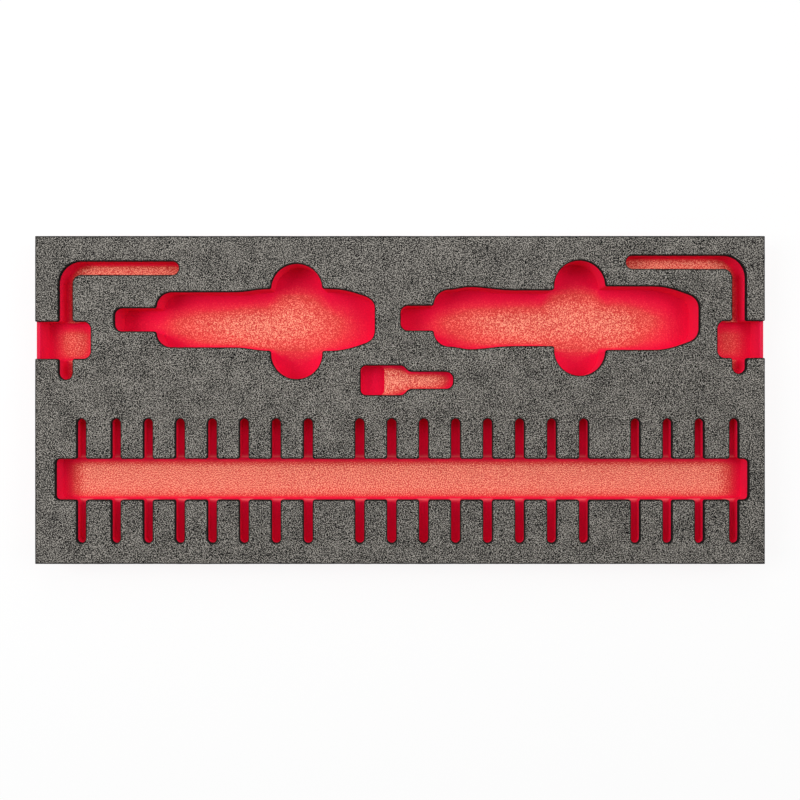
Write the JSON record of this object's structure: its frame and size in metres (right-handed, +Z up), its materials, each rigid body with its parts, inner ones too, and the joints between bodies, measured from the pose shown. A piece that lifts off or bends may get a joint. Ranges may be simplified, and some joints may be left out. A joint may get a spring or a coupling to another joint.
{
  "type": "foam tool drawer insert",
  "caption": "Dark grey and red foam drawer insert with pockets for torque drivers, L-shaped wrenches, a bit adapter and a comb of long bits.",
  "frame": {"origin": "centre of the underside, which rests on the drawer's floor", "axes": "+X along the drawer to the right, +Y towards its back, +Z up out of the pockets"},
  "size_m": [0.525, 0.236, 0.03],
  "materials": {
    "grey_foam": "matt closed-cell foam skin, dark grey with pale specks",
    "red_foam": "matt closed-cell foam, red, cut cells on the milled floors"
  },
  "bodies": {
    "root": {"base_block": "red_foam", "top_sheet": "grey_foam"}
  },
  "joints": []
}
